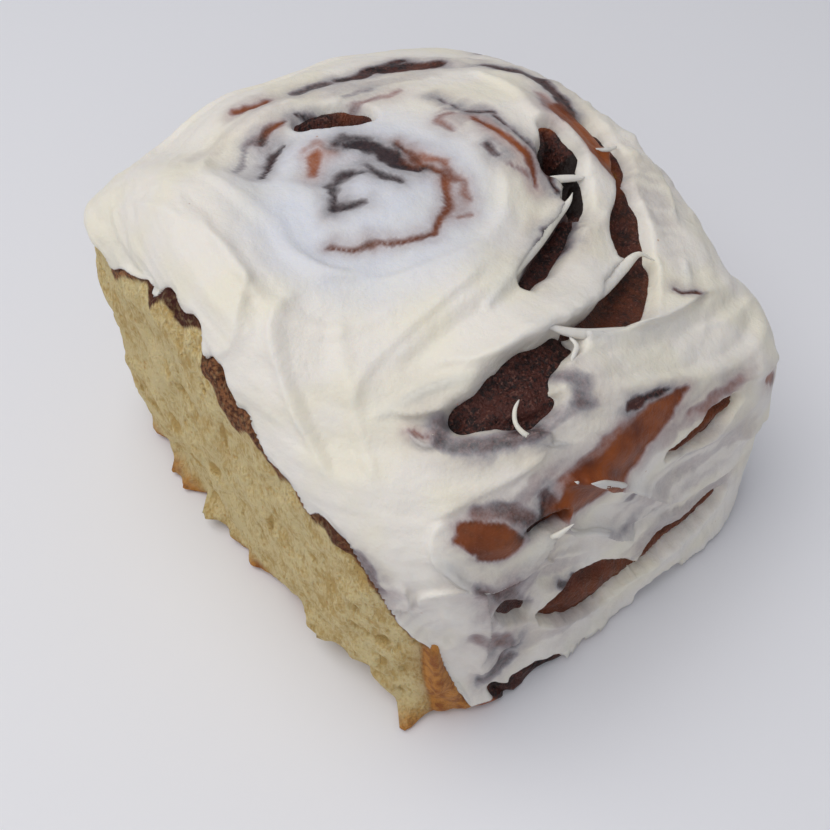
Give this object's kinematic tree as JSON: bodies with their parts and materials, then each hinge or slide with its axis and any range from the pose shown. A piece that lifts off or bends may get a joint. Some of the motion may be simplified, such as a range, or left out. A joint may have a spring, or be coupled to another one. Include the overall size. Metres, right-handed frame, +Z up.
{
  "type": "iced cinnamon roll",
  "caption": "Tall square-sided cinnamon roll pulled from a tray: torn pale crumb on two sides, browned coil seams and a thick coat of white icing.",
  "frame": {"origin": "middle of the flat underside, below the centre of the roll's bounding box", "axes": "+Z up; -X faces the side torn from its neighbour; -Y faces the side that the icing runs down; the longer side of the roll lies along Y"},
  "size_m": [0.1044, 0.1184, 0.0741],
  "materials": {
    "baked_dough": "matte torn crumb, browned crust and dark cinnamon filling in the seams",
    "icing": "soft satin, spread with a knife"
  },
  "bodies": {
    "root": {"baked_roll": "baked_dough", "cream_cheese_icing": "icing"}
  },
  "joints": []
}
